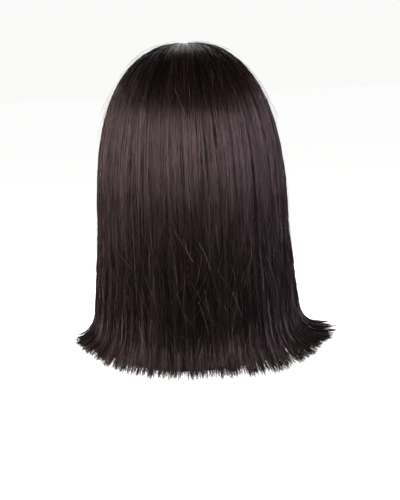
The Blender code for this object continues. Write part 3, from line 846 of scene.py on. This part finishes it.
def stray_hairs(stray, random):
    """Points down single hairs that drift sideways over the hair below them."""
    count = stray.number
    base = random.uniform(-FRONT_EDGE, FRONT_EDGE, count)
    root = random.uniform(stray.first_row, stray.last_row, (count, 1))
    tip = np.minimum(root + random.uniform(stray.shortest, stray.longest, (count, 1)), PATH_ROWS - 1)
    gone = np.clip(path_rows - root, 0, tip - root)
    slope = np.tan(np.radians(random.normal(0, stray.slope, (count, 1))))
    bend = random.normal(0, STRAY_BEND, (count, 1))
    bearing = base[:, None] + gone * (slope + bend * gone / BEND_ROWS) * ROW_LENGTH / MM * PER_MM
    sway = waves(count, (2.0, 5.0), STRAY_SWAY, random) * PER_MM * smooth(gone / STRAY_SWAY_ROWS)
    bearing = gathered(bearing + sway, base, random.uniform(*STRAY_GATHERS, count))
    extra = random.uniform(*STRAY_EXTRAS, count) * stray.extra
    length = FALL_LENGTH * lock_value("length", base) + extra
    flip = lock_value("flip", base) * random.normal(1, STRAY_FLIP_SPREAD, count)
    points, out_of_hair = combed_points(bearing, length[:, None], flip[:, None], TIP_CURL)
    rise = gone / (tip - root)
    lift = np.abs(random.normal(0, stray.lift, (count, 1))) * smooth(rise * LIFT_PACE)
    sunk = STRAY_SUNK * (1 - smooth(rise * SINK_PACE))
    points = points + out_of_hair * (lift - sunk)[:, :, None]
    places = root + (tip - root) * np.linspace(0, 1, stray.points)
    return sampled(points, places), random.beta(*STRAY_TONES, count)


# Painted light: much lighter colours than the strands below, standing for the light each loose hair
# catches
single_hair_painted_light = strand_material(
    "single_brown_hair_painted_light",
    body=((0.0, "#150e0e"), (0.6, "#3d2f2e"), (1.0, "#8a7876")),
    tips=((0.0, "#190e0c"), (0.6, "#33221f"), (1.0, "#604a45")),
    roughness=(0.34, 0.26),
    specular=0.3,
)
random = np.random.default_rng(23)
for stray in STRAYS:
    points, tone = stray_hairs(stray, random)
    radius = stray.radius * random.uniform(*FINE_WIDTHS, len(points))
    add_piece(stray.name, strand_mesh(stray.name, points, radius, tone, random), single_hair_painted_light)


# The roots in the parting: single hairs knotted into the lace on both sides of its middle, from where
# they turn down to their own side. The same hair as the strands that show, and finer.
ROOTS = 520
ROOT_RADIUS = 0.16 * MM
ROOT_POINTS = 7
ROOT_LAST_ROW = 7
ROOT_LIFT = 0.5 * MM
ROOT_DRIFT = 0.03  # of bearing
KNOT_DEPTH = 0.3 * MM  # below the hair's inner face
KNOT_PACE = 1.4  # above 1, a hair has left its knot before its last point
ROOT_TONES = (1.6, 2.2)


def parting_roots(random):
    """Points down hairs from the lace to where they join the hair beside it."""
    side = random.choice((-1.0, 1.0), ROOTS)
    share = random.uniform(0, 1, ROOTS)
    start = side * (REAR_FAN + share * (FRONT_EDGE - REAR_FAN))
    bearing = start[:, None] + random.normal(0, ROOT_DRIFT, (ROOTS, 1)) * path_rows / ROOT_LAST_ROW
    bearing = np.clip(bearing, -FRONT_EDGE, FRONT_EDGE)
    length = np.full((ROOTS, 1), FALL_LENGTH)
    points, out_of_hair = combed_points(bearing, length, np.zeros((ROOTS, 1)))
    place = np.linspace(0, 1, ROOT_POINTS)
    arch = ROOT_LIFT * random.uniform(0.4, 1.0, (ROOTS, 1)) * np.sin(math.pi * place)
    places = np.broadcast_to(place * ROOT_LAST_ROW, (ROOTS, ROOT_POINTS))
    path = sampled(points, places) + sampled(out_of_hair, places) * arch[:, :, None]
    knot_x = side * random.uniform(0.0, 1.0, ROOTS) * ROOT_REACH
    knot_y = path[:, 0, 1]
    knot_z = dome_height(under_hair, knot_x, knot_y)[0] - KNOT_DEPTH
    knot = np.stack((knot_x, knot_y, knot_z), axis=1)
    return path + (knot - path[:, 0])[:, None, :] * (1 - smooth(place * KNOT_PACE))[None, :, None]


random = np.random.default_rng(29)
points = parting_roots(random)
tone = random.beta(*ROOT_TONES, ROOTS)
radius = ROOT_RADIUS * random.uniform(*FINE_WIDTHS, ROOTS)
root_mesh = strand_mesh("parting_roots", points, radius, tone, random)
add_piece("parting_roots", root_mesh, hair_strands)


# The strands inside: those that show from below and through the face opening, along the inner faces of
# the panels, the front edges beside the face, and the hair at the nape. The same hair as outside, sewn
# to the cap's edge.
Lining = namedtuple("Lining", "name sheets number across down inside slope slot")
LININGS = (
    Lining("right_inner_strands", masses["right_hair"], 520, (0, 1), (34, 79), True, 1.5, "hair"),
    Lining("left_inner_strands", masses["left_hair"], 520, (0, 1), (34, 79), True, 1.5, "hair"),
    Lining("back_inner_strands", masses["back_hair"], 420, (0, 1), (66, 79), True, 1.5, "hair"),
    Lining("right_edge_strands", masses["right_hair"], 150, (0, 0.01), (6, 79), False, 0.2, "hair"),
    Lining("left_edge_strands", masses["left_hair"], 150, (0.99, 1), (6, 79), False, 0.2, "hair"),
    Lining("nape_strands", nape, 800, (0, 1), (0, 21), True, 1.5, "under_hair"),
)
INNER_RADIUS = 0.30 * MM
INNER_ROWS = 9
INNER_REACHES = (0.97, 1.03)  # shares of the mass's length
LATE_ROOTS = 0.25  # the share of their way down in which the roots lie
INNER_LIFTS = (-0.2 * MM, 0.5 * MM)  # into the mass


def lining_strands(lining, random):
    """Points down strands that lie on the inner face of a mass, or all through its front edge."""
    outer, inner = lining.sheets
    columns, rows = outer.shape[:2]
    count = lining.number
    column = random.uniform(*lining.across, (count, 1)) * (columns - 1)
    start, end = (row / lining.down[1] * (rows - 1) for row in lining.down)
    reach = random.uniform(*INNER_REACHES, (count, 1))
    begin = start + (end - start) * random.uniform(0, LATE_ROOTS, (count, 1)) * lining.inside
    row = begin + (end - begin) * np.linspace(0, 1, INNER_ROWS) * reach
    drift = random.normal(0, lining.slope, (count, 1)) * np.linspace(-1, 1, INNER_ROWS)
    column = np.clip(column + drift, 0, columns - 1)
    left = np.clip(column.astype(int), 0, columns - 2)
    above = np.clip(row.astype(int), 0, rows - 2)
    u, v = (column - left)[:, :, None], (row - above)[:, :, None]

    def at(sheet):
        """Points of a sheet between its four nearest ones."""
        upper = sheet[left, above] * (1 - u) + sheet[left + 1, above] * u
        lower = sheet[left, above + 1] * (1 - u) + sheet[left + 1, above + 1] * u
        return upper * (1 - v) + lower * v

    near, far = at(outer), at(inner)
    through = far - near
    if lining.inside:
        through /= np.linalg.norm(through, axis=2, keepdims=True)
        points = far + through * random.uniform(*INNER_LIFTS, (count, 1, 1))
    else:
        points = near + through * random.uniform(0, 1, (count, 1, 1))
    return points, random.beta(*ROOT_TONES, count)


random = np.random.default_rng(31)
for lining in LININGS:
    points, tone = lining_strands(lining, random)
    radius = INNER_RADIUS * random.uniform(*FINE_WIDTHS, len(points))
    mesh = strand_mesh(lining.name, points, radius, tone, random)
    add_piece(lining.name, mesh, hair_strands)


# Floor, light and camera: a plain pale floor, three broad soft lights behind the wig that lay one band
# of shine across the back of the hair, and weaker ones low down, at the sides and in front. The camera
# stands behind the wig, a little above it.
FLOOR_LEVEL = -0.425
FLOOR_RADIUS = 30.0
PIXEL = 1.0 * MM  # at the wig
PICTURE_HEIGHT = 500  # pixels
DISTANCE = 2.1
ELEVATION = math.radians(5.0)
ROLL = math.radians(-2.6)
LOOKED_AT = Vector((0, 0, -0.155))
PIXELS_RIGHT, PIXELS_DOWN = 7.5, 40.0  # from there to the picture's middle

floor = bmesh.new()
bmesh.ops.create_circle(floor, cap_ends=True, segments=96, radius=FLOOR_RADIUS)
bmesh.ops.translate(floor, verts=floor.verts, vec=(0, 0, FLOOR_LEVEL))
floor_mesh = bpy.data.meshes.new("floor")
floor.to_mesh(floor_mesh)
floor.free()
floor_material, tree = new_material("pale_floor")
speckle = add_node(tree, "ShaderNodeTexNoise", {"Scale": 3.0})
shades = colour_ramp(tree, speckle.outputs["Fac"], ((0.3, "#fbfbfa"), (0.7, "#fdfdfc")))
shader = add_node(
    tree,
    "ShaderNodeBsdfPrincipled",
    {"Roughness": 0.9, "Emission Strength": 0.98},
    {"Base Color": shades, "Emission Color": shades},
)
add_node(tree, "ShaderNodeOutputMaterial", links={"Surface": shader.outputs["BSDF"]})
floor_mesh.materials.append(floor_material)
floor_object = bpy.data.objects.new("floor", floor_mesh)
bpy.context.scene.collection.objects.link(floor_object)
floor_object.visible_diffuse = False
floor_object.visible_glossy = False

world = bpy.data.worlds.new("studio")
world.use_nodes = True
tree = world.node_tree
tree.nodes.clear()
seen = add_node(tree, "ShaderNodeBackground", {"Color": linear("#fafaf9"), "Strength": 1.0})
dim = add_node(tree, "ShaderNodeBackground", {"Color": linear("#e9eef5"), "Strength": 0.03})
ray = add_node(tree, "ShaderNodeLightPath")
both = add_node(tree, "ShaderNodeMixShader", links={"Fac": ray.outputs["Is Camera Ray"]})
tree.links.new(dim.outputs["Background"], both.inputs[1])
tree.links.new(seen.outputs["Background"], both.inputs[2])
add_node(tree, "ShaderNodeOutputWorld", links={"Surface": both.outputs["Shader"]})
bpy.context.scene.world = world

Lamp = namedtuple("Lamp", "name bearing elevation distance width height power colour")
LAMPS = (
    Lamp("key", 0, 25.5, 2.6, 1.6, 1.35, 52, "#ffffff"),
    Lamp("left_key", 50, 20, 2.6, 1.0, 1.35, 34, "#fff1e6"),
    Lamp("right_key", -50, 20, 2.6, 1.0, 1.35, 25, "#efecff"),
    Lamp("low_key", 0, 5, 2.6, 2.2, 0.5, 17, "#ffffff"),
    Lamp("left_side", 95, 12, 2.2, 0.8, 1.4, 15, "#fff1e6"),
    Lamp("right_side", -95, 12, 2.2, 0.8, 1.4, 10, "#efecff"),
    Lamp("front", 180, 34, 2.2, 1.6, 1.6, 14, "#ffffff"),
    Lamp("low_front", 180, 0, 2.2, 1.6, 0.9, 34, "#ffffff"),
)
WIG_MIDDLE = Vector((0, 0, -0.15))
for lamp in LAMPS:
    light = bpy.data.lights.new(lamp.name, "AREA")
    light.shape = "RECTANGLE"
    light.size = lamp.width
    light.size_y = lamp.height
    light.energy = lamp.power
    light.color = linear(lamp.colour)[:3]
    bearing, elevation = math.radians(lamp.bearing), math.radians(lamp.elevation)
    level = math.cos(elevation)
    away = Vector((math.sin(bearing) * level, math.cos(bearing) * level, math.sin(elevation)))
    holder = bpy.data.objects.new(lamp.name, light)
    holder.location = WIG_MIDDLE + away * lamp.distance
    holder.rotation_euler = away.to_track_quat("Z", "Y").to_euler()
    bpy.context.scene.collection.objects.link(holder)

camera_data = bpy.data.cameras.new("camera")
camera_data.sensor_fit = "VERTICAL"
camera_data.sensor_height = 24.0
camera_data.lens = camera_data.sensor_height * DISTANCE / (PICTURE_HEIGHT * PIXEL)
camera = bpy.data.objects.new("camera", camera_data)
toward_camera = Vector((0, math.cos(ELEVATION), math.sin(ELEVATION)))
turn = Matrix.Rotation(ROLL, 3, toward_camera) @ toward_camera.to_track_quat("Z", "Y").to_matrix()
right, up = turn.col[0], turn.col[1]
frame_middle = LOOKED_AT + right * PIXELS_RIGHT * PIXEL - up * PIXELS_DOWN * PIXEL
camera.matrix_world = Matrix.Translation(frame_middle + toward_camera * DISTANCE) @ turn.to_4x4()
bpy.context.scene.collection.objects.link(camera)
bpy.context.scene.camera = camera
bpy.context.scene.view_settings.view_transform = "Standard"
